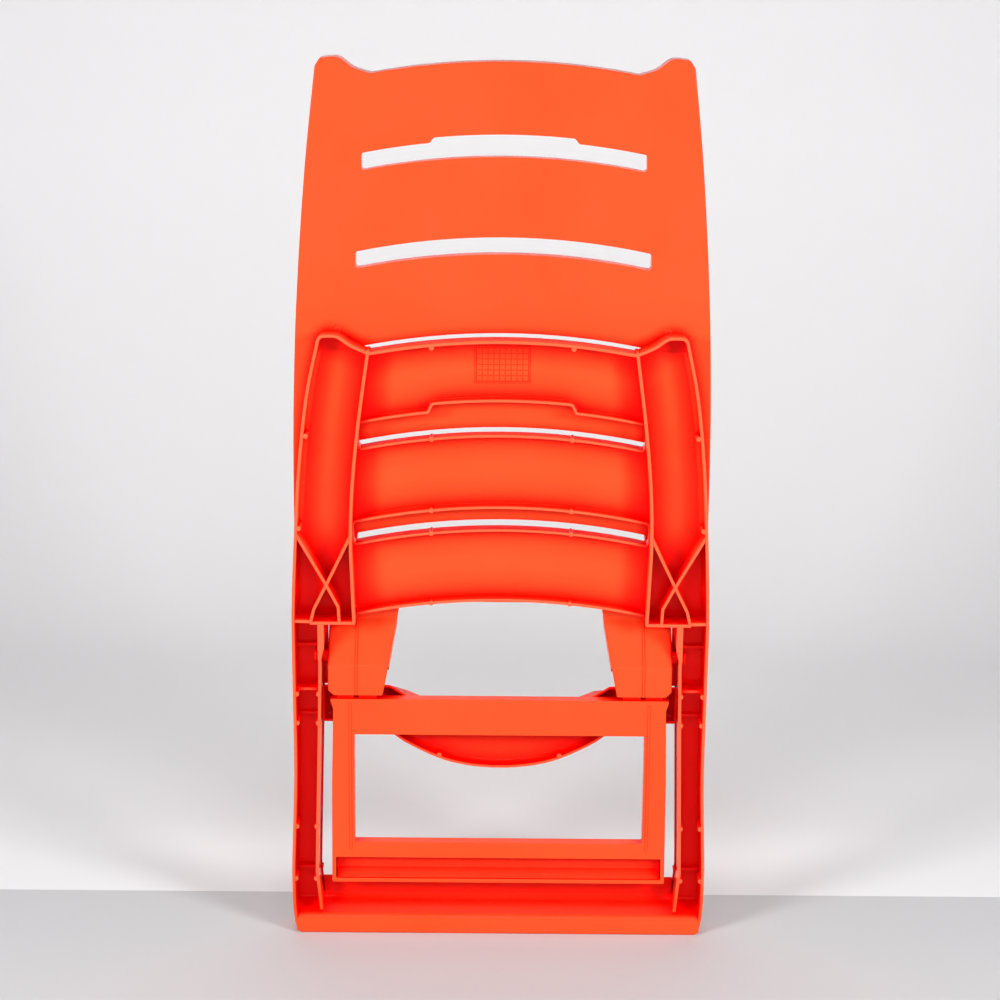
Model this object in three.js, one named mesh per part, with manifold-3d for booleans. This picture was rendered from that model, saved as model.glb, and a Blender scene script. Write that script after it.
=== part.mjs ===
// A folding sun lounger in moulded plastic, folded flat and standing on its foot bar.
// Units are millimetres. +X is to the lounger's side, +Z is up, and the ribbed underside of the seat
// faces -Y. Three mouldings cross like an X: the seat with its rear legs, the back with two tabs that
// pass through the seat, and a leg frame hinged to the ends of the tabs. Pins join them.
import * as THREE from "three";
import { mergeVertices } from "three/addons/utils/BufferGeometryUtils.js";
import Module from "manifold-3d";

const wasm = await Module();
wasm.setup();

// ---------- Driving dimensions ----------

const WALL = 4.5; // skins, outer walls and main ribs
const RIM = 4; // rims of slats and slots
const GAP = 0.3; // running clearance between pieces
const SLIVER = 0.02; // how far a vertex may move when slivers are cleared away
const OVERLAP = 1; // how far joined solids run into each other
const SLAT_RADIUS = 1000; // arch of every slat and slot edge
const SLAT_DEPTH = 20; // skin to rim of a slat

const MIDDLE = 12; // half width of the flat stretch where the two halves of an outline meet
const BEYOND = 10; // how far a cutter reaches past what it cuts

// Seat moulding: its seat face is the plane y = 0.
const SEAT_TOP = 891; // height of the front edge at the centre
const SEAT_FRONT = -46; // plane of the rib edges at the hinge and below
const SEAT_TIP_FRONT = -34; // the same plane at the tips of the ears
const EAR_TIP = 908;
const RIB_SLOTS = [
  { top: 789, bottom: 754, halfWidth: 203, notch: 12 },
  { top: 645.5, bottom: 616, halfWidth: 211, notch: 0 },
];
const SLAT_END = 508; // lower edge of the last slat at the centre
const END_WALL = 480; // cross wall that ends the side channels
const WEB_X = 260; // inner wall of each leg rail, at its centre
const CHEEK_END = 440; // above this the web is twice as thick
const CROSS_RIBS = [438, 376, 333];
const CROSS_RIB_FRONT = -38;
const BRIDGE_TOP = 380; // crossmember between the rails
const BRIDGE_REST = 368;
const BRIDGE_BOTTOM = 323;
const BRIDGE_DIP = 253;
const BRIDGE_FRONT = -22;
const FOOT_TOP = 74;
const FOOT_LEDGE = 38; // under the ledge between the rear skin and the front face
const FOOT_SHOULDER = 24;
const FOOT_HALF_WIDTH = 303;
const STIFFENER_PITCH = 75;
const STIFFENER_COUNT = 7;

// Back moulding: its front face is just behind the seat face.
const BACK_TOP = 1274;
const BACK_FRONT = 5;
const BACK_REAR = 46;
const BACK_END = 498; // lower edge, where the tabs start
const BACK_SLOT_PITCH = 136;
const BACK_SLOT_COUNT = 5;
const BACK_SLOT_TOP = 1167;
const BACK_SLOT_HEIGHT = 24;
const BACK_NOTCH = 7;
const HANDLE_HALF_WIDTH = 98;
const HANDLE_SLOPE = 6;

// Tabs of the back moulding.
const TAB_OUTER = 249;
const TAB_RIB = 208;
const TAB_INNER_TOP = 144;
const TAB_INNER_BOTTOM = 169.5;
const TAB_CREASE = 415;
const TAB_SLOPE_TOP = 474;
const TAB_ROOT = 508; // where a tab runs into the back
const TAB_END = 371;
const TAB_FRONT = -44;
const TAB_THICK = 20;
const TAB_REAR_TOP = 32; // rear plane of a tab where it joins the back
const TAB_CHAMFER = 7;

// Leg frame.
const LEG_TOP = 365;
const LEG_BOTTOM = 81;
const LEG_FRONT = -44;
const LEG_REAR = -24;
const LEG_HALF_WIDTH = 244;
const WINDOW = { halfWidth: 211, bottom: 144, top: 311 };
const TROUGH = { halfWidth: 239, bottom: 84, top: 123, floor: -28 };

// Hinges.
const PIVOT = { y: -17, z: 422, radius: 5 };
const LEG_HINGE = { y: -34, z: 380, radius: 3, knuckle: 6 };
const LUG_NECK = 8;
const LUG_CLEARANCE = 1.5;
const BOSS_WALL = 5; // plastic round a pivot hole in a tab
const BOSS_DEPTH = 4;
const CHEEK_BOSS = { radius: 13, inner: 258, outer: 266 }; // round the pivot hole in a rail's web
const SPACER_RADIUS = 10;
const HEAD_RADIUS = 9;
const HEAD_THICK = 3;
const RETAINER_THICK = 4;

const PLASTIC = { color: 0xff5f32, roughness: 0.4, metalness: 0 };
const STEEL = { color: 0xb9bcc0, roughness: 0.35, metalness: 1 };

// ---------- Solids ----------

function toSolid(geometry) {
  geometry.deleteAttribute("normal");
  geometry.deleteAttribute("uv");
  const merged = mergeVertices(geometry, 1e-3);
  return new wasm.Manifold(
    new wasm.Mesh({
      numProp: 3,
      vertProperties: merged.attributes.position.array,
      triVerts: new Uint32Array(merged.index.array),
    }),
  );
}

// A joined solid's triangles, without the slivers that joins leave in flat faces.
function toGeometry(solid) {
  const mesh = solid.asOriginal().simplify(SLIVER).getMesh();
  const geometry = new THREE.BufferGeometry();
  geometry.setAttribute("position", new THREE.BufferAttribute(mesh.vertProperties, 3));
  geometry.setIndex(new THREE.BufferAttribute(mesh.triVerts, 1));
  return geometry.toNonIndexed();
}

const join = (solids) => solids.reduce((whole, solid) => whole.add(solid));
const cut = (solid, cutters) => cutters.reduce((whole, cutter) => whole.subtract(cutter), solid);

// A flat outline in X and Z, made as thick as the distance between two planes across Y.
function plate(points, front, rear) {
  const shape = new THREE.Shape(points.map(([x, z]) => new THREE.Vector2(x, z)));
  const geometry = new THREE.ExtrudeGeometry(shape, { depth: rear - front, bevelEnabled: false });
  geometry.rotateX(Math.PI / 2);
  geometry.translate(0, rear, 0);
  return toSolid(geometry);
}

// A profile in Y and Z, carried along X.
function bar(points, left, right) {
  const shape = new THREE.Shape(points.map(([y, z]) => new THREE.Vector2(y, z)));
  const geometry = new THREE.ExtrudeGeometry(shape, { depth: right - left, bevelEnabled: false });
  const alongX = new THREE.Matrix4().makeBasis(
    new THREE.Vector3(0, 1, 0),
    new THREE.Vector3(0, 0, 1),
    new THREE.Vector3(1, 0, 0),
  );
  geometry.applyMatrix4(alongX);
  geometry.translate(left, 0, 0);
  return toSolid(geometry);
}

function block([x0, x1], [y0, y1], [z0, z1]) {
  const geometry = new THREE.BoxGeometry(x1 - x0, y1 - y0, z1 - z0);
  geometry.translate((x0 + x1) / 2, (y0 + y1) / 2, (z0 + z1) / 2);
  return toSolid(geometry);
}

// A round pin along X about a hinge line.
function rod(hinge, radius, left, right, sides = 24) {
  const geometry = new THREE.CylinderGeometry(radius, radius, right - left, sides);
  geometry.rotateZ(Math.PI / 2);
  geometry.translate((left + right) / 2, hinge.y, hinge.z);
  return toSolid(geometry);
}

// The same solid on the other side of the lounger.
const mirrored = (solid) => solid.mirror([1, 0, 0]);
const bothSides = (solid) => solid.add(mirrored(solid));

// ---------- Outlines ----------

const dropAt = (x) => SLAT_RADIUS - Math.sqrt(SLAT_RADIUS ** 2 - x ** 2);

// An arched edge from one x to another, highest at the centre.
function arch(height, fromX, toX, steps = 16) {
  return Array.from({ length: steps + 1 }, (_, i) => {
    const x = fromX + ((toX - fromX) * i) / steps;
    return [x, height - dropAt(x)];
  });
}

// A smooth line through a few points.
function smooth(points, steps) {
  const curve = new THREE.SplineCurve(points.map(([x, z]) => new THREE.Vector2(x, z)));
  return curve.getPoints(steps).map((point) => [point.x, point.y]);
}

// A right-hand half, top to bottom, and its mirror image as one closed outline.
function symmetric(rightHalf) {
  const leftHalf = rightHalf.map(([x, z]) => [-x, z]).reverse();
  return [...rightHalf, ...leftHalf];
}

// A band of even width along a line, as an outline.
function band(points, width, closed = false) {
  const count = points.length;
  const side = (sign) =>
    points.map(([x, z], i) => {
      const before = points[closed ? (i + count - 1) % count : Math.max(i - 1, 0)];
      const after = points[closed ? (i + 1) % count : Math.min(i + 1, count - 1)];
      const normalOf = (from, to) => {
        const length = Math.hypot(to[0] - from[0], to[1] - from[1]) || 1;
        return [(from[1] - to[1]) / length, (to[0] - from[0]) / length];
      };
      const first = before === points[i] ? normalOf([x, z], after) : normalOf(before, [x, z]);
      const second = after === points[i] ? first : normalOf([x, z], after);
      const bisector = [first[0] + second[0], first[1] + second[1]];
      const scale = (sign * width) / 2 / (1 + first[0] * second[0] + first[1] * second[1]);
      return [x + bisector[0] * scale, z + bisector[1] * scale];
    });
  return { left: side(1), right: side(-1) };
}

// An upright wall along an open line.
function wall(points, width, front, rear) {
  const { left, right } = band(points, width);
  return plate([...left, ...right.reverse()], front, rear);
}

// An upright wall along the inside of a closed outline.
function ring(outline, width, front, rear) {
  const inner = band(outline, 2 * width, true).right;
  return cut(plate(outline, front, rear), [plate(inner, front - OVERLAP, rear + OVERLAP)]);
}

// A slot with arched edges, and a raised hand grip in the middle of its top edge.
function slotOutline({ top, bottom, halfWidth, notch }, grow = 0) {
  const right = halfWidth + grow;
  const grip = HANDLE_HALF_WIDTH + grow;
  const upper = notch
    ? [
        ...arch(top + grow, -right, -grip - HANDLE_SLOPE, 5),
        ...arch(top + notch + grow, -grip, grip, 8),
        ...arch(top + grow, grip + HANDLE_SLOPE, right, 5),
      ]
    : arch(top + grow, -right, right);
  return [...upper, ...arch(bottom - grow, right, -right)];
}

// ---------- Seat moulding ----------

const SEAT_SIDE = [
  [261, 892],
  [278, 811],
  [290, 704],
  [296, 598],
  [300, 498],
  [300, 408],
  [299, 258],
  [302, 158],
  [304, 98],
  [303, 45],
  [300, 12],
];
const SEAT_RIB = [
  [189, 876],
  [203, 774],
  [212, 684],
  [215, 605],
  [213, 540],
  [210.5, END_WALL],
];

function seatOutline() {
  return symmetric([
    ...arch(SEAT_TOP, MIDDLE, 188, 8),
    [212, 884],
    [230, 896],
    [243, 898],
    [256, 897],
    ...smooth(SEAT_SIDE, 26),
    [297, 4],
    [290, 0],
  ]);
}

// The centre line of a rail's inner web, from the hinge down to the foot bar.
function railWeb() {
  const start = [WEB_X, 408];
  return [start, ...smooth([start, [262, 308], [266, 147], [267, 98]], 6).slice(1)];
}

// Between the last slat, the webs and the foot bar the skin is open; the crossmember bridges the gap.
function legOpening() {
  return symmetric([
    ...arch(SLAT_END + RIM / 2, MIDDLE, 209, 6),
    [210, END_WALL],
    [WEB_X, END_WALL],
    ...railWeb(),
    [264, FOOT_TOP - WALL],
    [MIDDLE, FOOT_TOP - WALL],
  ]);
}

// The side channel of the seat: its inner rib and the cross of ribs that braces its lower end.
function channelRibs() {
  const crossing = [250, 536];
  const lines = [
    smooth(SEAT_RIB, 14),
    [[293, 612], crossing, [232, 502], [231, END_WALL]],
    [[217, 605], crossing, [270, 492], [274, END_WALL]],
    [[208.5, END_WALL], [299, END_WALL]],
  ];
  return lines.map((line) => wall(line, WALL, SEAT_FRONT, 0));
}

// The rail below it, which is the rear leg: inner web, hinge cheek, rear strip and cross ribs.
function railRibs() {
  const web = [[WEB_X, END_WALL], ...railWeb(), [260, FOOT_SHOULDER]];
  const crossRib = (z) => block([WEB_X, 299], [CROSS_RIB_FRONT, 0], [z, z + RIM]);
  return [
    wall(web, WALL, SEAT_FRONT, 0),
    block([WEB_X - WALL, WEB_X], [SEAT_FRONT, 0], [CHEEK_END, END_WALL]),
    block([TAB_OUTER + 2.5, WEB_X], [-WALL, 0], [BRIDGE_TOP - 2 * WALL, END_WALL]),
    ...CROSS_RIBS.map(crossRib),
  ];
}

// Foot bar: a rear skin, a ledge that comes forward, a front face and a base. It is open behind.
function footBar() {
  const outer = [
    [0, FOOT_TOP],
    [-WALL, FOOT_TOP],
    [-WALL, FOOT_LEDGE + 14],
    [-7, FOOT_LEDGE + 8],
    [-13, FOOT_LEDGE + 4],
    [-36, FOOT_LEDGE - 4],
    [-43, FOOT_LEDGE - 8],
    [SEAT_FRONT, FOOT_SHOULDER],
    [SEAT_FRONT, 0],
    [0, 0],
  ];
  const inner = [
    [OVERLAP, FOOT_LEDGE],
    [-13, FOOT_LEDGE - 1],
    [-36, FOOT_LEDGE - 9],
    [SEAT_FRONT + WALL, FOOT_SHOULDER],
    [SEAT_FRONT + WALL, WALL],
    [OVERLAP, WALL],
  ];
  const ends = [-FOOT_HALF_WIDTH, FOOT_HALF_WIDTH];
  const hollow = bar(inner, ends[0] - OVERLAP, ends[1] + OVERLAP);
  const stiffeners = Array.from({ length: STIFFENER_COUNT }, (_, i) => {
    const x = STIFFENER_PITCH * (i - (STIFFENER_COUNT - 1) / 2);
    return bar(outer, x - RIM / 2, x + RIM / 2);
  });
  return join([cut(bar(outer, ...ends), [hollow]), ...stiffeners]);
}

// A rim round a slot.
function slotRim(slot, front, rear) {
  const opening = plate(slotOutline(slot), front - OVERLAP, rear + OVERLAP);
  return cut(plate(slotOutline(slot, RIM), front, rear), [opening]);
}

// The rims round the openings, no deeper than the slats they stiffen.
function seatRims() {
  const slatFront = -SLAT_DEPTH - WALL;
  const lastRim = wall(arch(SLAT_END + RIM / 2, -209, 209), RIM, slatFront, 0);
  return [...RIB_SLOTS.map((slot) => slotRim(slot, slatFront, 0)), lastRim, bridge()];
}

const raised = (points, rise) => points.map(([x, z]) => [x, z + rise]);

// Crossmember between the rails: a smile-shaped plate with a rim, hollow in front. Its top falls away
// behind, where the opened back comes to rest against it.
function bridge() {
  const upper = smooth([[MIDDLE, 328], [70, 339], [138, 366]], 5);
  const lower = smooth([[177, BRIDGE_BOTTOM], [140, 293], [90, 268], [50, 257], [MIDDLE, BRIDGE_DIP]], 10);
  const outlineInset = (inset) =>
    symmetric([
      ...raised(upper, -inset),
      [160, BRIDGE_TOP - inset],
      [WEB_X, BRIDGE_TOP - inset],
      [WEB_X, BRIDGE_BOTTOM + inset],
      ...raised(lower, inset),
    ]);
  const pocket = plate(outlineInset(RIM), BRIDGE_FRONT - OVERLAP, -WALL);
  const aboveRest = [
    [BRIDGE_FRONT - OVERLAP, BRIDGE_TOP + OVERLAP],
    [OVERLAP, BRIDGE_REST],
    [OVERLAP, BRIDGE_TOP + OVERLAP],
  ];
  const rest = bar(aboveRest, -WEB_X, WEB_X);
  return cut(plate(outlineInset(0), BRIDGE_FRONT, 0), [pocket, rest]);
}

// Everything ahead of the plane that slopes from the hinge to the shallower tips of the ears.
function seatSlopeCutter() {
  const far = SEAT_FRONT - BEYOND;
  const side = FOOT_HALF_WIDTH + BEYOND;
  const profile = [[SEAT_FRONT, END_WALL + 10], [far, END_WALL], [far, EAR_TIP], [SEAT_TIP_FRONT, EAR_TIP]];
  return bar(profile, -side, side);
}

function seatMoulding() {
  const outline = seatOutline();
  const openings = [legOpening(), ...RIB_SLOTS.map((slot) => slotOutline(slot))];
  const through = openings.map((opening) => plate(opening, SEAT_FRONT - OVERLAP, OVERLAP));
  const side = FOOT_HALF_WIDTH + BEYOND;
  const belowSkin = block([-side, side], [-WALL - OVERLAP, OVERLAP], [-OVERLAP, FOOT_TOP - WALL / 2]);
  const skin = cut(plate(outline, -WALL, 0), [...through, belowSkin]);
  const pivotBoss = rod(PIVOT, CHEEK_BOSS.radius, CHEEK_BOSS.inner, CHEEK_BOSS.outer);
  const ribs = [...channelRibs(), ...railRibs(), pivotBoss].map(bothSides);
  const body = join([skin, ring(outline, WALL, SEAT_FRONT, 0), ...ribs, ...seatRims()]);
  const foot = footBar().intersect(plate(outline, SEAT_FRONT, 0));
  const pivotHole = bothSides(rod(PIVOT, PIVOT.radius + GAP, WEB_X - BEYOND, WEB_X + BEYOND));
  return cut(body.add(foot), [seatSlopeCutter(), pivotHole]);
}

// ---------- Back moulding ----------

const BACK_SIDE = [
  [263, 1266],
  [276, 1150],
  [285, 1044],
  [292, 938],
  [296, 848],
  [298.5, 748],
  [299, 628],
  [297, BACK_END + 14],
];
const BACK_RIB = [
  [188, 1254],
  [203, 1148],
  [212, 1018],
  [214, 748],
  [213, BACK_END + 4],
];

function backOutline() {
  return symmetric([
    ...arch(BACK_TOP, MIDDLE, 186, 8),
    [210, 1264],
    [228, 1277],
    [240, 1279],
    [256, 1277],
    ...smooth(BACK_SIDE, 16),
    [292, BACK_END + 3],
    [284, BACK_END],
    [150, BACK_END],
    [MIDDLE, BACK_END + 8],
  ]);
}

function backSlots() {
  return Array.from({ length: BACK_SLOT_COUNT }, (_, i) => {
    const top = BACK_SLOT_TOP - i * BACK_SLOT_PITCH;
    const halfWidth = i === 0 ? 199 : 208;
    return { top, bottom: top - BACK_SLOT_HEIGHT, halfWidth, notch: i === 0 ? BACK_NOTCH : 0 };
  });
}

// Side view of a tab: it leaves the back, slopes forward through the seat and ends upright.
function tabProfile() {
  const slope = Math.atan2(BACK_FRONT - TAB_FRONT, TAB_SLOPE_TOP - TAB_CREASE);
  const rear = TAB_FRONT + TAB_THICK;
  const rearCrease = TAB_CREASE - TAB_THICK * Math.tan(slope / 2);
  return {
    front: [
      [BACK_FRONT, TAB_ROOT],
      [BACK_FRONT, TAB_SLOPE_TOP],
      [TAB_FRONT, TAB_CREASE],
      [TAB_FRONT, TAB_END],
    ],
    rear: [
      [rear, TAB_END],
      [rear, rearCrease],
      [TAB_REAR_TOP, rearCrease + (TAB_REAR_TOP - rear) / Math.tan(slope)],
      [TAB_REAR_TOP, TAB_ROOT],
    ],
  };
}

function tabOutline() {
  return [
    [TAB_INNER_TOP, TAB_ROOT],
    [TAB_OUTER, TAB_ROOT],
    [TAB_OUTER, TAB_END + TAB_CHAMFER],
    [TAB_OUTER - TAB_CHAMFER, TAB_END],
    [TAB_INNER_BOTTOM, TAB_END],
  ].reverse();
}

// The space inside a tab's front skin, in side view.
function tabHollow(front, far) {
  const insideCreases = front.slice(1, 3).map(([y, z]) => [y + WALL, z - WALL / 2]);
  return [
    [BACK_FRONT + WALL, BACK_END - WALL],
    ...insideCreases,
    [TAB_FRONT + WALL, TAB_END + WALL],
    [far, TAB_END + WALL],
    [far, BACK_END - WALL],
  ];
}

// A tab is a shell, open behind, with a middle rib and a boss for the pivot pin.
function tab() {
  const { front, rear } = tabProfile();
  const far = BACK_REAR + BEYOND;
  const outer = bar([...front, ...rear], TAB_INNER_TOP - BEYOND, TAB_OUTER);
  const hollow = bar(tabHollow(front, far), 0, TAB_OUTER + BEYOND);
  const inside = band(tabOutline(), 2 * WALL, true).left;
  const boss = rod(PIVOT, PIVOT.radius + BOSS_WALL, TAB_OUTER - WALL - BOSS_DEPTH, TAB_OUTER);
  const ribSides = [TAB_RIB - RIM / 2, TAB_RIB + RIM / 2];
  const middleRib = block(ribSides, [TAB_FRONT, far], [TAB_END, TAB_ROOT + BEYOND]);
  const pockets = cut(plate(inside, TAB_FRONT, far).intersect(hollow), [middleRib, boss]);
  const body = outer.intersect(plate(tabOutline(), TAB_FRONT, far)).add(boss);
  const pivotHole = rod(PIVOT, PIVOT.radius + GAP, TAB_OUTER - 2 * BEYOND, TAB_OUTER + BEYOND);
  const hingeHole = rod(LEG_HINGE, LEG_HINGE.radius + GAP, TAB_INNER_TOP, TAB_OUTER + BEYOND);
  return cut(body, [pockets, pivotHole, hingeHole, ...lugPositions().map(lugPocket)]);
}

// Where the two lugs of the leg frame enter one tab.
const lugPositions = () => [
  [TAB_INNER_BOTTOM + 9, TAB_RIB - 6],
  [TAB_RIB + 6, TAB_OUTER - TAB_CHAMFER - 6],
];

function lugPocket([left, right]) {
  const sides = [left - LUG_CLEARANCE, right + LUG_CLEARANCE];
  const front = LEG_HINGE.y - LEG_HINGE.knuckle - LUG_CLEARANCE;
  return block(sides, [front, 0], [TAB_END - OVERLAP, LEG_HINGE.z + LUG_NECK]);
}

function backMoulding() {
  const outline = backOutline();
  const slots = backSlots();
  const slatRear = BACK_FRONT + WALL + SLAT_DEPTH;
  const through = slots.map((slot) => plate(slotOutline(slot), BACK_FRONT - OVERLAP, BACK_REAR + OVERLAP));
  const skin = cut(plate(outline, BACK_FRONT, BACK_FRONT + WALL), through);
  const rims = slots.map((slot) => slotRim(slot, BACK_FRONT, slatRear));
  const ribs = bothSides(wall(smooth(BACK_RIB, 14), WALL, BACK_FRONT, BACK_REAR));
  return join([skin, ring(outline, WALL, BACK_FRONT, BACK_REAR), ribs, ...rims, bothSides(tab())]);
}

// ---------- Leg frame ----------

// A knuckle on the top edge that enters the tab and turns on the hinge pin.
function lug([left, right]) {
  const { y, z, radius, knuckle } = LEG_HINGE;
  const neck = block([left, right], [y - LUG_NECK / 2, y + LUG_NECK / 2], [LEG_TOP - LUG_NECK, z]);
  const eye = rod(LEG_HINGE, knuckle, left, right);
  return cut(neck.add(eye), [rod({ y, z }, radius + GAP, left - OVERLAP, right + OVERLAP)]);
}

function legOutline() {
  return symmetric([
    [MIDDLE, LEG_TOP],
    [LEG_HALF_WIDTH, LEG_TOP],
    [LEG_HALF_WIDTH - 6, LEG_TOP - 18],
    [LEG_HALF_WIDTH - 4, 308],
    [LEG_HALF_WIDTH, 238],
    [LEG_HALF_WIDTH + 1, LEG_BOTTOM],
    [MIDDLE, LEG_BOTTOM],
  ]);
}

function legFrame() {
  const outline = legOutline();
  const side = WINDOW.halfWidth;
  const windowOutline = [
    [-side, WINDOW.top],
    [side, WINDOW.top],
    [side, WINDOW.bottom],
    [-side, WINDOW.bottom],
  ];
  const aroundWindow = band(windowOutline, 2 * WALL, true).left;
  const window = plate(windowOutline, LEG_FRONT - OVERLAP, LEG_REAR + OVERLAP);
  const skin = plate(outline, LEG_FRONT, LEG_FRONT + WALL);
  const windowWall = plate(aroundWindow, LEG_FRONT, LEG_REAR);
  const { halfWidth, bottom, top, floor } = TROUGH;
  const troughEnd = halfWidth + WALL;
  const troughWall = block([-troughEnd, troughEnd], [LEG_FRONT, LEG_REAR], [LEG_BOTTOM, top + WALL]);
  const trough = block([-halfWidth, halfWidth], [LEG_FRONT - OVERLAP, floor], [bottom, top]);
  const body = join([skin, ring(outline, WALL, LEG_FRONT, LEG_REAR), windowWall, troughWall]);
  const lugs = lugPositions().map(lug).map(bothSides);
  return join([cut(body, [window, trough]), ...lugs]);
}

// ---------- Pins and their fittings ----------

const outerFace = CHEEK_BOSS.outer + GAP; // the channel side of the web's boss
const tabFace = TAB_OUTER - WALL - BOSS_DEPTH - GAP; // the inner side of the tab's boss

function pivotPin() {
  const shank = rod(PIVOT, PIVOT.radius, tabFace - RETAINER_THICK - BOSS_DEPTH, outerFace + OVERLAP);
  return shank.add(rod(PIVOT, HEAD_RADIUS, outerFace, outerFace + HEAD_THICK));
}

function washer(hinge, outer, inner, left, right) {
  return cut(rod(hinge, outer, left, right), [rod(hinge, inner, left - OVERLAP, right + OVERLAP)]);
}

const pivotSpacer = () =>
  washer(PIVOT, SPACER_RADIUS, PIVOT.radius + GAP, TAB_OUTER + GAP, WEB_X - WALL / 2 - 2 * GAP);
const pivotRetainer = () =>
  washer(PIVOT, HEAD_RADIUS, PIVOT.radius + GAP, tabFace - RETAINER_THICK, tabFace);
const legPin = () => rod(LEG_HINGE, LEG_HINGE.radius, TAB_INNER_BOTTOM + 6, TAB_OUTER - 1, 16);

// ---------- The assembly ----------

function piece(name, solid, finish) {
  const mesh = new THREE.Mesh(toGeometry(solid), finish);
  mesh.name = name;
  return mesh;
}

const plastic = new THREE.MeshStandardMaterial(PLASTIC);
const steel = new THREE.MeshStandardMaterial(STEEL);
const group = new THREE.Group();
group.add(piece("seat_moulding", seatMoulding(), plastic));
group.add(piece("back_moulding", backMoulding(), plastic));
group.add(piece("leg_frame", legFrame(), plastic));

const fittings = [
  ["back_pivot_pin", pivotPin(), plastic],
  ["back_pivot_spacer", pivotSpacer(), plastic],
  ["back_pivot_retainer", pivotRetainer(), plastic],
  ["leg_hinge_pin", legPin(), steel],
];
for (const [name, solid, finish] of fittings) {
  group.add(piece(`${name}_right`, solid, finish));
  group.add(piece(`${name}_left`, mirrored(solid), finish));
}

export default group;
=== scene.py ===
"""A folding sun lounger in one moulded plastic, folded flat and standing on its foot bar.

The outlines are in millimetres, in the frame of the CAD model: X to the side, Y back, Z up. Each moulding
is built from sheets with turned-up walls, rounded rims and fillets, and from ribs that stand in them.
Only outlines and heights that a single shape needs stand in its own function. What several shapes share,
and what drives the size, is named here at the top.
"""

import math

import bmesh
import bpy
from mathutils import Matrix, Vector
from mathutils.geometry import tessellate_polygon


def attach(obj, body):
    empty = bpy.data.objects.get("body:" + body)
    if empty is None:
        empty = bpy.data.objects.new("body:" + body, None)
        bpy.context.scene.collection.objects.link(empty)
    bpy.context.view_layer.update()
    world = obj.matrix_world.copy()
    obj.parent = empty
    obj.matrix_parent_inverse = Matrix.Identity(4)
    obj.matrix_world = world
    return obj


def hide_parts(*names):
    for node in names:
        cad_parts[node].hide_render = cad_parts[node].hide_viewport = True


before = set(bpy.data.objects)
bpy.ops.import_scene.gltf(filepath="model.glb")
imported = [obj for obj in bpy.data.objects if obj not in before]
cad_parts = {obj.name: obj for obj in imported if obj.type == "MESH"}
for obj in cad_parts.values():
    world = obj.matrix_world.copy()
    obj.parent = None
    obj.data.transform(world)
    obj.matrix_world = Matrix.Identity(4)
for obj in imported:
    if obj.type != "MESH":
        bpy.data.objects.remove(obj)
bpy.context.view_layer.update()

# ---------- Driving dimensions, in millimetres ----------

METRE = 0.001
WALL = 4.5  # skins, outer walls and main ribs
RIM = 4  # rims of slats and slots
RIB_DROP = 0.4  # ribs end this much below the rims that they meet
SINK = 2  # how far a rib stands inside the skin under it
EDGE = 1.1  # round edges of rims and ribs
FILLET = 1.8  # where walls rise from a skin
HAIR = 0.3  # keeps faces of two shapes that overlap out of one plane
MIDDLE = 12  # half of an outline starts this far from the centre
POST_RADIUS = 3.6
POST_EDGE = 0.7
PIP_RADIUS = 5
PIP_HEIGHT = 0.9
SLAT_RADIUS = 1000
SLAT_DEPTH = 24.5
SLOT_CORNER = 4

SEAT_TOP = 891
SEAT_CORNER = 7
SEAT_ROUND = 2.5
SEAT_FRONT = -46
SEAT_TIP_FRONT = -34
EAR_TIP = 908
FOOT_TOP = 74
FOOT_SHOULDER = 27
LEDGE_TOP = 42
FOOT_REAR = -HAIR
FOOT_RIBS = (-296, -225, -150, -75, 0, 75, 150, 225, 296)
TRAY_BOTTOM = 14  # the seat's sheet ends here, inside the foot bar
END_WALL = 480
SLAT_END = 508
WEB_X = 260
BRIDGE_TOP = 380
BRIDGE_REST = 368
BRIDGE_BOTTOM = 323
BRIDGE_FRONT = -22
BRACE_CROSSING = (250, 536)
RAIL_RIBS = ((438, -13), (376, -32), (333, -12), (92, -14))  # each rib's height and its front
SEAT_SLOTS = [
    {"top": 789, "bottom": 754, "half_width": 203, "notch": 12},
    {"top": 645.5, "bottom": 616, "half_width": 211, "notch": 0},
]
PANEL = {"left": -37, "right": 37, "bottom": 828, "top": 876, "columns": 9, "rows": 6}
PANEL_GROOVE = 0.9
PANEL_FRAME = 1.2
PANEL_GAP = 1.4  # from the tiles to the middle of the frame's bars

BACK_TOP = 1274
BACK_FRONT = 5
BACK_REAR = 46
BACK_END = 498
BACK_CORNER = 8
BACK_ROUND = 5
BACK_SLOT_PITCH = 136
BACK_SLOT_TOP = 1167
BACK_SLOT_HEIGHT = 24
BACK_SLOT_COUNT = 5
BACK_NOTCH = 7
HANDLE_HALF_WIDTH = 98
HANDLE_SLOPE = 6

TAB_OUTER = 249
TAB_RIB = 208
TAB_INNER_TOP = 144
TAB_INNER_BOTTOM = 169.5
TAB_CREASE = 415
TAB_SLOPE_TOP = 474
TAB_END = 371
TAB_FRONT = -44
TAB_THICK = 20
TAB_CHAMFER = 7
BEAD_HEIGHT = 1.1

LEG_TOP = 365
LEG_BOTTOM = 81
LEG_FRONT = -44
LEG_REAR = -24
LEG_HALF_WIDTH = 244
LEG_CORNER = 2.5
LEG_ROUND = 1.6
RIDGE = {"x": 217, "top": 358, "bottom": 134, "width": 3, "height": 0.7}
WINDOW = {"half_width": 211, "bottom": 144, "top": 311}
TROUGH = {"half_width": 239, "bottom": 87, "top": 120, "floor": -28}
LEG_HINGE = {"y": -34, "z": 380, "radius": 6}


# ---------- Lines and outlines, as lists of (x, z) ----------


def drop_at(x):
    return SLAT_RADIUS - math.sqrt(SLAT_RADIUS**2 - x**2)


def arch(height, from_x, to_x, steps=16):
    """An arched edge, highest at the centre."""
    xs = [from_x + (to_x - from_x) * i / steps for i in range(steps + 1)]
    return [(x, height - drop_at(x)) for x in xs]


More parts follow.
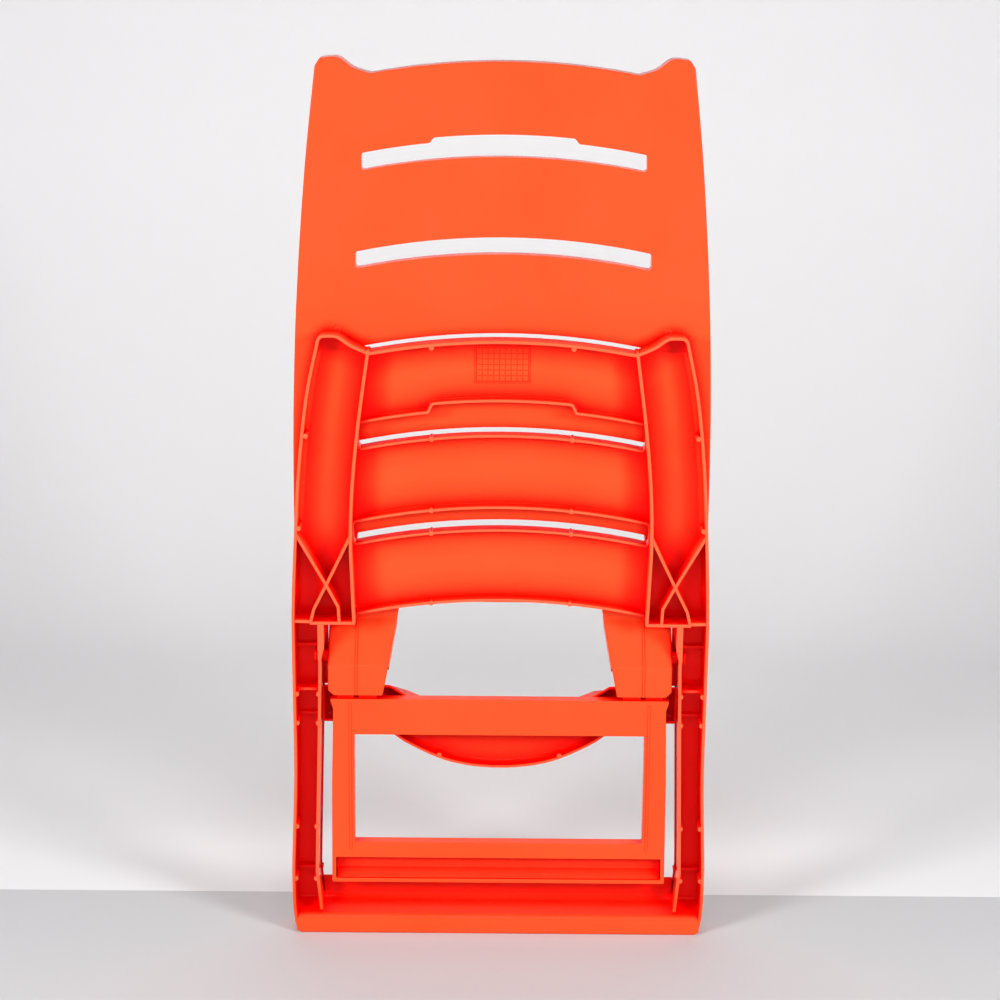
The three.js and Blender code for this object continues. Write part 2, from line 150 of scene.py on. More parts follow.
def spline(points, steps):
    """A smooth line through a few points."""
    knots = [points[0], *points, points[-1]]
    line = []
    for i in range(steps + 1):
        at = i / steps * (len(points) - 1)
        k = min(int(at), len(points) - 2)
        t = at - k
        a, b, c, d = (Vector(p) for p in knots[k : k + 4])
        bend = 2 * b + (c - a) * t + (2 * a - 5 * b + 4 * c - d) * t**2 + (3 * b - a - 3 * c + d) * t**3
        line.append(tuple(bend / 2))
    return line


def symmetric(right_half):
    """A right-hand half, top to bottom, and its mirror image as one closed outline."""
    return [*right_half, *[(-x, z) for x, z in reversed(right_half)]]


def mirrored(line):
    return [(-x, z) for x, z in line]


def area(loop):
    return sum(x0 * z1 - x1 * z0 for (x0, z0), (x1, z1) in zip(loop, [*loop[1:], loop[0]])) / 2


def anticlockwise(loop):
    return loop if area(loop) > 0 else loop[::-1]


def clockwise(loop):
    return anticlockwise(loop)[::-1]


def left_normal(start, end):
    along = (Vector(end) - Vector(start)).normalized()
    return Vector((-along.y, along.x))


def offset(loop, distance):
    """A closed line moved to its left by distance, with mitred corners."""
    moved = []
    for i, point in enumerate(loop):
        before = left_normal(loop[i - 1], point)
        after = left_normal(point, loop[(i + 1) % len(loop)])
        mitre = (before + after) / max(1 + before.dot(after), 0.35)
        moved.append(tuple(Vector(point) + mitre * distance))
    return moved


def rounded(path, radius, closed=True, sharpest=0.3, steps=4):
    """A line whose corners are turned into arcs. radius is one number, or one for each inner corner.

    Corners that turn by less than sharpest, in radians, stay as they are.
    """
    line = []
    count = len(path)
    for i, point in enumerate(path):
        corner = Vector(point)
        if not closed and i in (0, count - 1):
            line.append(tuple(corner))
            continue
        before = Vector(path[i - 1]) - corner
        after = Vector(path[(i + 1) % count]) - corner
        turn = math.pi - before.angle(after)
        size = radius if isinstance(radius, (int, float)) else radius[i - 1]
        if turn < sharpest or size == 0:
            line.append(tuple(corner))
            continue
        reach = min(size * math.tan(turn / 2), 0.45 * before.length, 0.45 * after.length)
        start = corner + before.normalized() * reach
        end = corner + after.normalized() * reach
        for k in range(steps + 1):
            angle = math.pi / 2 * k / steps
            along = (corner - start) * math.sin(angle)
            across = (end - corner) * (1 - math.cos(angle))
            line.append(tuple(start + along + across))
    return line


def band(line, width):
    """An open line made into a closed outline of even width."""
    sides = []
    for sign in (1, -1):
        side = []
        for i, point in enumerate(line):
            before = left_normal(line[i - 1], point) if i else None
            after = left_normal(point, line[i + 1]) if i + 1 < len(line) else before
            before = before or after
            mitre = (before + after) / (1 + before.dot(after))
            side.append(tuple(Vector(point) + mitre * sign * width / 2))
        sides.append(side)
    return [*sides[0], *reversed(sides[1])]


def slot_outline(slot):
    """A slot with arched edges and, with a notch, a raised hand grip in the middle of its top edge."""
    right = slot["half_width"]
    grip = HANDLE_HALF_WIDTH
    upper = arch(slot["top"], -right, right)
    if slot["notch"]:
        upper = [
            *arch(slot["top"], -right, -grip - HANDLE_SLOPE, 6),
            *arch(slot["top"] + slot["notch"], -grip, grip, 12),
            *arch(slot["top"], grip + HANDLE_SLOPE, right, 6),
        ]
    return rounded([*upper, *arch(slot["bottom"], right, -right)], SLOT_CORNER)


# ---------- Mesh work ----------


def loft(bm, rings, closed=True):
    """Faces between rings that have the same number of points."""
    made = [[bm.verts.new(point) for point in ring] for ring in rings]
    count = len(made[0])
    for lower, upper in zip(made, made[1:]):
        for i in range(count if closed else count - 1):
            j = (i + 1) % count
            bm.faces.new((lower[i], lower[j], upper[j], upper[i]))
    return made


def cap(bm, rings, first=0, second=2):
    """A flat face in the first ring, with the others as its holes. It's laid out along two of the axes."""
    verts = [vert for ring in rings for vert in ring]
    flat = [[(vert.co[first], vert.co[second], 0) for vert in ring] for ring in rings]
    for triangle in tessellate_polygon(flat):
        bm.faces.new([verts[i] for i in triangle])


def skirt(bm, loop, profile):
    """A wall round a loop: profile lists how far into the material, and at what y, each ring lies."""
    rings = [[(x, y, z) for x, z in offset(loop, inset)] for inset, y in profile]
    made = loft(bm, rings)
    return made[0], made[-1]


def turned_edge(face, rim, wall, edge):
    """The profile of a skin at face whose edge turns up into a wall as far as rim, and back inside."""
    way = math.copysign(1, rim - face)
    floor = face + way * WALL
    corners = [
        (edge, face),
        (0, face),
        (0, rim),
        (wall, rim),
        (wall, floor),
        (wall + FILLET, floor),
    ]
    return rounded(corners, [edge, EDGE, EDGE, FILLET], closed=False)


def plain_edge(front, rear, edge=EDGE):
    return rounded([(edge, front), (0, front), (0, rear), (edge, rear)], [edge, edge], closed=False)


def sheet(bm, outer, outer_profile, holes=(), pockets=()):
    """A moulded sheet with turned edges. A pocket has one profile before the skin and one behind it."""
    faces = [skirt(bm, anticlockwise(outer), outer_profile)]
    faces += [skirt(bm, clockwise(loop), profile) for loop, profile in holes]
    for loop, near_profile, far_profile in pockets:
        near_start, near_end = skirt(bm, clockwise(loop), near_profile)
        far_start, far_end = skirt(bm, clockwise(loop), far_profile)
        cap(bm, [near_end])
        cap(bm, [far_end])
        faces.append((near_start, far_start))
    cap(bm, [first for first, last in faces])
    cap(bm, [last for first, last in faces])


def plate(bm, outline, front, rear, edge=EDGE):
    sheet(bm, outline, plain_edge(front, rear, edge))


def rib(bm, line, width, front, rear):
    """An upright rib along a line, on both sides of the lounger."""
    for path in (line, mirrored(line)):
        plate(bm, band(path, width), front, rear)


def circle(x, z, radius, count):
    turns = [math.tau * i / count for i in range(count)]
    return [(x + radius * math.cos(turn), z + radius * math.sin(turn)) for turn in turns]


def pip(bm, x, y, z, radius):
    """A small round mark on a face, as a flattened dome."""
    rings = []
    for k in range(4):
        angle = math.pi / 2 * k / 3.4
        level = y - PIP_HEIGHT * math.sin(angle)
        rings.append([(at_x, level, at_z) for at_x, at_z in circle(x, z, radius * math.cos(angle), 12)])
    made = loft(bm, rings)
    cap(bm, [made[0]])
    cap(bm, [made[-1]])


def pips(bm, places, y, radius):
    for x, z in places:
        for side in (-1, 1):
            pip(bm, side * x, y, z, radius)


def posts(bm, places, front):
    """Pads for the ejector pins, which stand a little proud of the rims that they are part of."""
    for x, z in places:
        outline = circle(x, z, POST_RADIUS, 16)
        for path in (outline, mirrored(outline)):
            plate(bm, path, front, -SINK, POST_EDGE)


def bar(bm, profile, left, right, edge=EDGE):
    """A profile in (y, z) carried along X, with rounded ends."""
    loop = anticlockwise(profile)
    length_profile = plain_edge(left, right, edge)
    rings = [[(x, y, z) for y, z in offset(loop, inset)] for inset, x in length_profile]
    made = loft(bm, rings)
    for ring in (made[0], made[-1]):
        cap(bm, [ring], 1, 2)


def box_profile(y0, y1, z0, z1):
    return [(y0, z0), (y1, z0), (y1, z1), (y0, z1)]


def centred_box(x, z, width, height):
    return box_profile(x - width / 2, x + width / 2, z - height / 2, z + height / 2)


def trough_floor(bm, outer_line, inner_line, floor, outer_round, inner_round, base):
    """The rounded floor of a channel, on both sides, between two lines with as many points each."""
    for side in (-1, 1):
        rings = []
        for (x_out, z_out), (x_in, z_in) in zip(outer_line, inner_line):
            across = [
                (x_out, base),
                (x_out, floor - outer_round),
                (x_out, floor),
                (x_in, floor),
                (x_in, floor - inner_round),
                (x_in, base),
            ]
            section = rounded(across, [0, outer_round, inner_round, 0], closed=False, steps=8)
            span = max(abs(x_out - x_in), EDGE)
            rings.append(
                [(side * x, y, z_in + (z_out - z_in) * abs(x - x_in) / span) for x, y in section]
            )
        made = loft(bm, rings)
        for ring in (made[0], made[-1]):
            bm.faces.new(ring)


def piece(name, bm, body, slot_name, *nodes, finish=None):
    """The finished mesh as an object that rides on its body and stands for its CAD nodes.

    Its material is the slot's own, or the one that finish names.
    """
    bmesh.ops.recalc_face_normals(bm, faces=bm.faces)
    for vert in bm.verts:
        vert.co *= METRE
    mesh = bpy.data.meshes.new(name)
    bm.to_mesh(mesh)
    bm.free()
    for polygon in mesh.polygons:
        polygon.use_smooth = True
    mesh.set_sharp_from_angle(angle=math.radians(50))
    made = bpy.data.objects.new(name, mesh)
    bpy.context.scene.collection.objects.link(made)
    normals = made.modifiers.new("flat faces stay flat", "WEIGHTED_NORMAL")
    normals.keep_sharp = True
    mesh.materials.append(finishes[finish or slot_name])
    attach(made, body)
    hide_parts(*nodes)
    return made


# ---------- Materials ----------

ORANGE = (0.9, 0.068, 0.016)
PALE_ORANGE = (0.92, 0.075, 0.019)
# a painted highlight on the thin front rims of the seat
RIM_HIGHLIGHT_ORANGE = (0.95, 0.115, 0.045)
# painted shade: the colour that recesses get in place of the light that doesn't reach them
PAINTED_SHADE_RED = (0.86, 0.001, 0.0)
FITTING_ORANGE = (0.82, 0.05, 0.003)
OCCLUSION_RAYS = 6
RECESS_SHADE_REACH = 0.042  # metres, how far walls count for the painted shade in recesses
NARROW_REACH = 0.018  # metres, for the painted shade on the back, whose broad faces lie close behind the seat
SHADED_REACH = 0.2  # metres, for the painted shade on the crossmember and the foot bar, which the leg frame shades
PAINTED_SHADE_RANGE = (0.63, 0.93)  # where the painted shade is full, and where it ends
GLOSS_RANGE = (0.17, 0.27)  # roughness
SPECULAR = 0.09
PLASTIC_IOR = 1.49
RIM_HIGHLIGHT_DEPTHS = (-0.017, -0.024)  # metres along Y, where the painted rim highlight starts and where it is full
RIM_HIGHLIGHT_HEIGHTS = (0.06, 0.09)  # metres above the floor, where the painted rim highlight starts and where it is full


def new_material(name):
    material = bpy.data.materials.new(name)
    material.use_nodes = True
    nodes = material.node_tree.nodes
    return material, nodes, material.node_tree.links, nodes["Principled BSDF"]


def noise(nodes, links, place, scale, detail):
    texture = nodes.new("ShaderNodeTexNoise")
    texture.inputs["Scale"].default_value = scale
    texture.inputs["Detail"].default_value = detail
    links.new(place.outputs["Object"], texture.inputs["Vector"])
    return texture


def mapped(nodes, links, source, low, high, output="Fac", darkest=0.35, lightest=0.65):
    """A node's number, brought from the range darkest to lightest to the range low to high."""
    ramp = nodes.new("ShaderNodeMapRange")
    ramp.inputs["From Min"].default_value = darkest
    ramp.inputs["From Max"].default_value = lightest
    ramp.inputs["To Min"].default_value = low
    ramp.inputs["To Max"].default_value = high
    links.new(source.outputs[output], ramp.inputs["Value"])
    return ramp


def openness(nodes, reach):
    """How open a spot is, from 0 in a deep corner to 1, as far as walls within reach decide it."""
    made = nodes.new("ShaderNodeAmbientOcclusion")
    made.samples = OCCLUSION_RAYS
    made.inputs["Distance"].default_value = reach
    return made


def rim_highlight_share(nodes, links, place):
    """Where the painted highlight falls: 1 on the thin front rims of the seat's walls and ribs, and 0 on
    its skin and its foot bar.
    """
    axes = nodes.new("ShaderNodeSeparateXYZ")
    links.new(place.outputs["Object"], axes.inputs["Vector"])
    forward = mapped(nodes, links, axes, 0, 1, "Y", *RIM_HIGHLIGHT_DEPTHS)
    above_foot = mapped(nodes, links, axes, 0, 1, "Z", *RIM_HIGHLIGHT_HEIGHTS)
    share = nodes.new("ShaderNodeMath")
    share.operation = "MULTIPLY"
    links.new(forward.outputs["Result"], share.inputs[0])
    links.new(above_foot.outputs["Result"], share.inputs[1])
    return share.outputs["Value"]


def colour_mix(nodes, links, factor, first, second):
    """Two colours mixed by a factor. A colour is a tuple of numbers, or a socket."""
    mix = nodes.new("ShaderNodeMix")
    mix.data_type = "RGBA"
    links.new(factor, mix.inputs["Factor"])
    for name, colour in (("A", first), ("B", second)):
        if isinstance(colour, tuple):
            mix.inputs[name].default_value = (*colour, 1)
        else:
            links.new(colour, mix.inputs[name])
    return mix.outputs["Result"]


def moulded_plastic(name, colour, pale, rims=False, reach=RECESS_SHADE_REACH):
    """Moulded plastic: a faint flow pattern in its colour, uneven gloss and a fine orange peel.

    Its colour carries painted shade: a deep red where walls within reach close a spot in. With rims,
    the seat's thin front rims also carry a painted highlight, a paler orange.
    """
    material, nodes, links, shader = new_material(name)
    place = nodes.new("ShaderNodeTexCoord")
    flow = noise(nodes, links, place, 6, 3)
    face = colour_mix(nodes, links, mapped(nodes, links, flow, 0, 1).outputs["Result"], colour, pale)
    # Painted highlight: with rims, the seat's thin front rims turn a paler orange.
    if rims:
        face = colour_mix(nodes, links, rim_highlight_share(nodes, links, place), face, RIM_HIGHLIGHT_ORANGE)
    # Painted shade: the colour turns deep red where walls within reach close a spot in.
    unshaded_share = mapped(nodes, links, openness(nodes, reach), 0, 1, "AO", *PAINTED_SHADE_RANGE).outputs["Result"]
    links.new(colour_mix(nodes, links, unshaded_share, PAINTED_SHADE_RED, face), shader.inputs["Base Color"])
    shader.inputs["Specular IOR Level"].default_value = SPECULAR
    smear = noise(nodes, links, place, 40, 4)
    links.new(mapped(nodes, links, smear, *GLOSS_RANGE).outputs["Result"], shader.inputs["Roughness"])
    peel = noise(nodes, links, place, 900, 2)
    bump = nodes.new("ShaderNodeBump")
    bump.inputs["Strength"].default_value = 0.05
    bump.inputs["Distance"].default_value = 0.0004
    links.new(peel.outputs["Fac"], bump.inputs["Height"])
    links.new(bump.outputs["Normal"], shader.inputs["Normal"])
    shader.inputs["IOR"].default_value = PLASTIC_IOR
    return material


def zinc_plate(name):
    material, nodes, links, shader = new_material(name)
    place = nodes.new("ShaderNodeTexCoord")
    grain = noise(nodes, links, place, 300, 3)
    links.new(mapped(nodes, links, grain, 0.25, 0.45).outputs["Result"], shader.inputs["Roughness"])
    shader.inputs["Base Color"].default_value = (0.62, 0.62, 0.64, 1)
    shader.inputs["Metallic"].default_value = 1
    return material


finishes = {
    "seat_plastic": moulded_plastic("seat_plastic", ORANGE, PALE_ORANGE, rims=True),
    # the same painted shade, measured over a longer reach, for the parts behind the leg frame
    "shaded_plastic": moulded_plastic(
        "shaded_plastic", ORANGE, PALE_ORANGE, rims=True, reach=SHADED_REACH
    ),
    "back_plastic": moulded_plastic("back_plastic", ORANGE, PALE_ORANGE, reach=NARROW_REACH),
    "leg_plastic": moulded_plastic("leg_plastic", ORANGE, PALE_ORANGE),
    "fitting_plastic": moulded_plastic("fitting_plastic", FITTING_ORANGE, ORANGE),
    "pin_steel": zinc_plate("pin_steel"),
}

# ---------- Seat moulding ----------

SEAT_SIDE = [
    (261, 892),
    (278, 811),
    (290, 704),
    (296, 598),
    (300, 498),
    (300, 408),
    (299, 258),
    (302, 158),
    (304, 98),
    (303, 45),
    (300, TRAY_BOTTOM),
]
SEAT_RIB = [(189, 876), (203, 774), (212, 684), (215, 605), (213, 540), (210.5, END_WALL)]
EAR = [(188, 873.5), (212, 884), (230, 896), (243, 898), (256, 897)]


def x_on(line, z):
    """Where a line that runs downwards stands at a height."""
    for (x0, z0), (x1, z1) in zip(line, line[1:]):
        if z1 <= z <= z0:
            return x0 + (x1 - x0) * (z0 - z) / max(z0 - z1, 1e-6)
    return line[0][0] if z > line[0][1] else line[-1][0]


seat_side = spline(SEAT_SIDE, 40)
seat_rib = spline(SEAT_RIB, 20)
rail_web = [(WEB_X, 408), *spline([(WEB_X, 408), (262, 308), (266, 147), (267, 98)], 8)[1:]]


def seat_outline():
    right = [*arch(SEAT_TOP, MIDDLE, 176, 8), *spline(EAR, 16), *seat_side]
    return rounded(symmetric([*right, (290, TRAY_BOTTOM - 6)]), SEAT_CORNER)


def leg_opening():
    """Between the last slat, the webs and the foot bar the skin is open."""
    half = [
        *arch(SLAT_END + RIM, MIDDLE, 206, 8),
        (208, END_WALL - 2),
        (WEB_X - 8, END_WALL - 2),
        (WEB_X - 6, 428),
        *[(x - WALL, z) for x, z in rail_web],
        (256, TRAY_BOTTOM + 12),
    ]
    return symmetric(half)


def slope_rims(bm):
    """The rims step back along a plane from the hinge to the shallower tips of the ears."""
    for vert in bm.verts:
        if vert.co.y < SEAT_FRONT + 12 and vert.co.z > END_WALL:
            share = (vert.co.z - END_WALL) / (EAR_TIP - END_WALL)
            vert.co.y += share * (SEAT_TIP_FRONT - SEAT_FRONT)


def tuck_in_foot(bm):
    """The lowest edge of the sheet hides in the thickness of the foot bar."""
    for vert in bm.verts:
        if vert.co.z < FOOT_SHOULDER and vert.co.y < -WALL:
            vert.co.y += WALL / 2 * (FOOT_SHOULDER - vert.co.z) / (FOOT_SHOULDER - TRAY_BOTTOM)


def channel_stations(top, bottom, count):
    return [top + (bottom - top) * i / count for i in range(count + 1)]


def seat_channels(bm):
    """The rounded floors of the side channels and of the rails below them."""
    upper = channel_stations(872, END_WALL, 24)
    outer = [(x_on(seat_side, z) - WALL + 0.5, z) for z in upper]
    inner = [(x_on(seat_rib, z) + 1, z) for z in upper]
    trough_floor(bm, outer, inner, -WALL - 0.5, 17, 5, -1)
    lower = channel_stations(END_WALL, FOOT_SHOULDER, 24)
    outer = [(x_on(seat_side, z) - WALL + 0.5, z) for z in lower]
    inner = [(x_on([(WEB_X, END_WALL), *rail_web, (260, 0)], z) + 1, z) for z in lower]
    trough_floor(bm, outer, inner, -WALL - 0.7, 10, 6, -1)


def seat_ribs(bm):
    """The long inner ribs, the crossed braces beside the last slat, and the end wall in two steps."""
    rib_front = SEAT_FRONT + RIB_DROP
    rib(bm, seat_rib, WALL, rib_front, -SINK)
    outer_brace = [(292.5, 609.5), BRACE_CROSSING, (233, 504), (231.5, END_WALL)]
    inner_brace = [(214.5, 609), BRACE_CROSSING, (268, 500), (273, END_WALL)]
    rib(bm, outer_brace, WALL - HAIR, rib_front + HAIR, -SINK)
    rib(bm, inner_brace, WALL - HAIR, rib_front + 2 * HAIR, -SINK)
    rib(bm, [(209, END_WALL), (274, END_WALL - 0.5)], WALL, rib_front + 0.2, -SINK)
    rib(bm, [(272, END_WALL + 1.5), (297.5, END_WALL + 2)], WALL, rib_front + 0.9, -SINK)


def rail_ribs(bm):
    """The rails' inner webs, with a cheek and a ledge at the pivot, and their cross ribs."""
    rib_front = SEAT_FRONT + RIB_DROP
    web = [(WEB_X, END_WALL + 1), *rail_web, (261, FOOT_SHOULDER + 10)]
    rib(bm, web, WALL, rib_front + 1, -SINK)
    cheek = [
        (WEB_X + 3, END_WALL),
        (WEB_X + 3, 423),
        (WEB_X - 1.5, 423),
        (WEB_X - 6, 442),
        (WEB_X - 6, END_WALL),
    ]
    for outline in (cheek, mirrored(cheek)):
        plate(bm, outline, rib_front + 0.5, -SINK)
    for z, front in RAIL_RIBS:
        rib(bm, [(WEB_X, z), (x_on(seat_side, z) - SINK, z)], RIM, front, -SINK)
    ledge = [(TAB_OUTER + 5.5, END_WALL), (TAB_OUTER + 5.5, BRIDGE_TOP - WALL)]
    rib(bm, ledge, 2 * WALL, -WALL + 0.2, -0.2)


def last_slat_rim(bm):
    line = arch(SLAT_END + RIM / 2, -207, 207, 24)
    plate(bm, band(line, RIM), -SLAT_DEPTH, -SINK)


def bridge(bm):
    """The crossmember between the rails: curved down in the middle, hollow in front, its top falling
    away behind."""
    half = [
        *spline([(MIDDLE, 328), (70, 339), (138, 366)], 8),
        (160, BRIDGE_TOP),
        (WEB_X - 1, BRIDGE_TOP),
        (WEB_X - 1, BRIDGE_BOTTOM),
        *spline([(177, BRIDGE_BOTTOM), (140, 293), (90, 268), (50, 257), (MIDDLE, 253)], 16),
    ]
    corners = [
        (4, HAIR),
        (0, HAIR),
        (0, BRIDGE_FRONT),
        (RIM, BRIDGE_FRONT),
        (RIM, -WALL),
        (RIM + 17, -WALL),
    ]
    scoop = rounded(corners, [4, EDGE, EDGE, 16], closed=False, steps=7)
    part = bmesh.new()
    sheet(part, rounded(symmetric(half), 5), scoop)
    for vert in part.verts:
        if vert.co.z > BRIDGE_REST - RIM - FILLET and abs(vert.co.x) > 150:
            behind = 1 + (vert.co.y - HAIR) / (HAIR - BRIDGE_FRONT)
            vert.co.z -= (BRIDGE_TOP - BRIDGE_REST) * behind
    add(bm, part)


def add(bm, part):
    """Puts one bmesh into another."""
    mesh = bpy.data.meshes.new("part")
    part.to_mesh(mesh)
    part.free()
    bm.from_mesh(mesh)
    bpy.data.meshes.remove(mesh)


def foot_bar(bm):
    """The skin comes forward over a hollow ledge, runs down in front and turns back under. It is open
    behind, where ribs stand in it, and its ends follow the sides of the rails."""
    corners = [(-WALL, FOOT_TOP), (-WALL, LEDGE_TOP), (SEAT_FRONT, FOOT_SHOULDER), (SEAT_FRONT, 0)]
    shoulder = rounded(corners, [11, 13], closed=False, steps=7)
    outer = rounded([(FOOT_REAR, FOOT_TOP), *shoulder, (FOOT_REAR, 0)], 4, closed=False, sharpest=1)
    inside_front, inside_shoulder = SEAT_FRONT + WALL, FOOT_SHOULDER - WALL
    inner = [
        (FOOT_REAR, LEDGE_TOP - WALL),
        (inside_front, inside_shoulder),
        (inside_front, WALL),
        (FOOT_REAR, WALL),
    ]
    section = anticlockwise([*outer, *reversed(inner)])
    ends = [(x - 0.5, z) for x, z in [*seat_side, (297, 4), (291.5, 0)]]
    stations = [(0.9, 0), (0.3, 0.6), (0, EDGE), (0, 20)]
    rings = []
    for side, order in ((-1, stations), (1, stations[::-1])):
        for inset, back in order:
            ring = [(side * (x_on(ends, z0) - back), y, z)
                    for (y, z), (y0, z0) in zip(offset(section, inset), section)]
            rings.append(ring)
    made = loft(bm, rings)
    for ring in (made[0], made[-1]):
        cap(bm, [ring], 1, 2)
    grown = offset(anticlockwise(inner), -1)
    for x in FOOT_RIBS:
        bar(bm, grown, x - RIM / 2, x + RIM / 2, 0.5)


def embossed_panel(bm):
    """A plain raised panel of small tiles in a thin frame, on the first slat. It carries no lettering."""
    left, right, bottom, top = PANEL["left"], PANEL["right"], PANEL["bottom"], PANEL["top"]
    width = (right - left) / PANEL["columns"]
    height = (top - bottom) / PANEL["rows"]
    for i in range(PANEL["columns"]):
        for k in range(PANEL["rows"]):
            x, z = left + (i + 0.5) * width, bottom + (k + 0.5) * height
            tile = centred_box(x, z, width - PANEL_GROOVE, height - PANEL_GROOVE)
            plate(bm, tile, -WALL - 0.5, -SINK, 0.2)
    middle_z = (top + bottom) / 2
    for side in (-1, 1):
        across_z = middle_z + side * ((top - bottom) / 2 + PANEL_GAP)
        across = centred_box(0, across_z, right - left + 6, PANEL_FRAME)
        upright = centred_box(side * (right + PANEL_GAP), middle_z, PANEL_FRAME, top - bottom)
        for outline in (across, upright):
            plate(bm, outline, -WALL - 0.9, -SINK, HAIR)


def ejector_posts(bm):
    """On the rims of the slats, on the outer walls of the channels, and on both rims of the rails."""
    posts(bm, [(100, 747), (100, 642.5), (100, 609), (100, 505)], -SLAT_DEPTH - 0.4)
    posts(bm, [(100, 880), (278, 753), (289, 619)], SEAT_FRONT + 0.1)
    for z in (372, 328, 168, 86):
        posts(bm, [(x_on(seat_side, z) - WALL - 1, z), (x_on(rail_web, z) + 1.5, z)], SEAT_FRONT + 0.8)


def seat_moulding():
    bm = bmesh.new()
    holes = [(slot_outline(slot), turned_edge(0, -SLAT_DEPTH, RIM, EDGE)) for slot in SEAT_SLOTS]
    holes.append((leg_opening(), plain_edge(-WALL, 0, EDGE)[::-1]))
    sheet(bm, seat_outline(), turned_edge(0, SEAT_FRONT, WALL, SEAT_ROUND), holes)
    tuck_in_foot(bm)
    seat_channels(bm)
    seat_ribs(bm)
    rail_ribs(bm)
    last_slat_rim(bm)
    ejector_posts(bm)
    slope_rims(bm)
    embossed_panel(bm)
    piece("seat_shell", bm, "seat", "seat_plastic", "seat_moulding")


def crossmember_and_foot():
    """Parts of the seat moulding, in a mesh of their own because the leg frame shades them: their colour
    carries painted shade over a longer reach.
    """
    bm = bmesh.new()
    bridge(bm)
    posts(bm, [(88, 272.5)], BRIDGE_FRONT - 0.4)
    foot_bar(bm)
    piece("crossmember_and_foot", bm, "seat", "seat_plastic", "seat_moulding", finish="shaded_plastic")


# ---------- Back moulding ----------

BACK_SIDE = [
    (263, 1266),
    (276, 1150),
    (285, 1044),
    (292, 938),
    (296, 848),
    (298.5, 748),
    (299, 628),
    (297, 512),
]
BACK_RIB = [(188, 1254), (203, 1148), (212, 1018), (214, 748), (213, 502)]
BACK_EAR = [(186, 1256.5), (210, 1264), (228, 1277), (240, 1278.9), (256, 1277)]


def back_outline():
    right = [*arch(BACK_TOP, MIDDLE, 174, 8), *spline(BACK_EAR, 16), *spline(BACK_SIDE, 30)]
    half = [*right, (292, BACK_END + 3), (284, BACK_END), (MIDDLE, BACK_END)]
    return rounded(symmetric(half), BACK_CORNER)


def back_slots():
    slots = []
    for i in range(BACK_SLOT_COUNT):
        top = BACK_SLOT_TOP - i * BACK_SLOT_PITCH
        first = i == 0
        slots.append({
            "top": top,
            "bottom": top - BACK_SLOT_HEIGHT,
            "half_width": 199 if first else 208,
            "notch": BACK_NOTCH if first else 0,
        })
    return slots


def tab(bm, side):
    """A channel that leaves the back, slopes forward through the seat and ends upright."""
    root = BACK_FRONT + HAIR
    corners = [
        (root, BACK_END + WALL - 1),
        (root, TAB_SLOPE_TOP),
        (TAB_FRONT, TAB_CREASE),
        (TAB_FRONT, TAB_END),
    ]
    path = rounded(corners, [9, 5], closed=False, steps=5)
    path.insert(-1, (TAB_FRONT, TAB_END + TAB_CHAMFER))
    rings = []
    for i, point in enumerate(path):
        here = Vector(point)
        before = left_normal(path[i - 1], point) if i else left_normal(point, path[1])
        after = left_normal(point, path[i + 1]) if i + 1 < len(path) else before
        inward = (before + after) / (1 + before.dot(after))
        share = (point[1] - TAB_END) / (BACK_END + 10 - TAB_END)
        inner = TAB_INNER_BOTTOM + (TAB_INNER_TOP - TAB_INNER_BOTTOM) * share
        outer = TAB_OUTER - (TAB_CHAMFER if i == len(path) - 1 else 0)
        bead = [
            (TAB_RIB + 1.6, 0),
            (TAB_RIB + 0.9, -BEAD_HEIGHT),
            (TAB_RIB - 0.9, -BEAD_HEIGHT),
            (TAB_RIB - 1.6, 0),
        ]
        wall_line = [(outer, TAB_THICK), (outer, 0), *bead, (inner, 0), (inner, TAB_THICK)]
        inside = [
            (inner + WALL, TAB_THICK),
            (inner + WALL, WALL),
            (outer - WALL, WALL),
            (outer - WALL, TAB_THICK),
        ]
        section = rounded([*wall_line, *inside], 3, sharpest=1.2, steps=3)
        ring = []
        for x, depth in section:
            spot = here + inward * depth
            ring.append((side * x, spot.x, spot.y))
        rings.append(ring)
    made = loft(bm, rings)
    for ring in (made[0], made[-1]):
        cap(bm, [ring], 0, 1)


def tab_ends(bm):
    """The floor that closes each tab at its lower end, and the rib between its two hinge knuckles."""
    end = box_profile(TAB_FRONT + 1, TAB_FRONT + TAB_THICK - 0.5, TAB_END + 0.4, TAB_END + WALL)
    middle = box_profile(TAB_FRONT + 2, TAB_FRONT + TAB_THICK - 0.5, TAB_END + 0.6, TAB_CREASE)
    for side in (-1, 1):
        ends = sorted((side * (TAB_INNER_BOTTOM + 1.5), side * (TAB_OUTER - TAB_CHAMFER - 1)))
        bar(bm, end, *ends)
        bar(bm, middle, side * TAB_RIB - RIM / 2, side * TAB_RIB + RIM / 2)


def back_moulding():
    bm = bmesh.new()
    slat_rear = BACK_FRONT + SLAT_DEPTH
    holes = [(slot_outline(slot), turned_edge(BACK_FRONT, slat_rear, RIM, EDGE)) for slot in back_slots()]
    sheet(bm, back_outline(), turned_edge(BACK_FRONT, BACK_REAR, WALL, BACK_ROUND), holes)
    rib(bm, spline(BACK_RIB, 20), WALL, BACK_FRONT + SINK, BACK_REAR - RIB_DROP)
    for side in (-1, 1):
        tab(bm, side)
    tab_ends(bm)
    pips(bm, [(234, 898)], BACK_FRONT, PIP_RADIUS)
    piece("back_shell", bm, "back", "back_plastic", "back_moulding")


# ---------- Leg frame ----------


def leg_outline():
    half = [
        (MIDDLE, LEG_TOP),
        (LEG_HALF_WIDTH + 2, LEG_TOP),
        (LEG_HALF_WIDTH + 0.5, LEG_TOP - 6),
        (LEG_HALF_WIDTH - 2.5, LEG_TOP - 16),
        (LEG_HALF_WIDTH - 1.5, 308),
        (LEG_HALF_WIDTH, 238),
        (LEG_HALF_WIDTH + 1, LEG_BOTTOM),
        (MIDDLE, LEG_BOTTOM),
    ]
    return rounded(symmetric(half), LEG_CORNER)


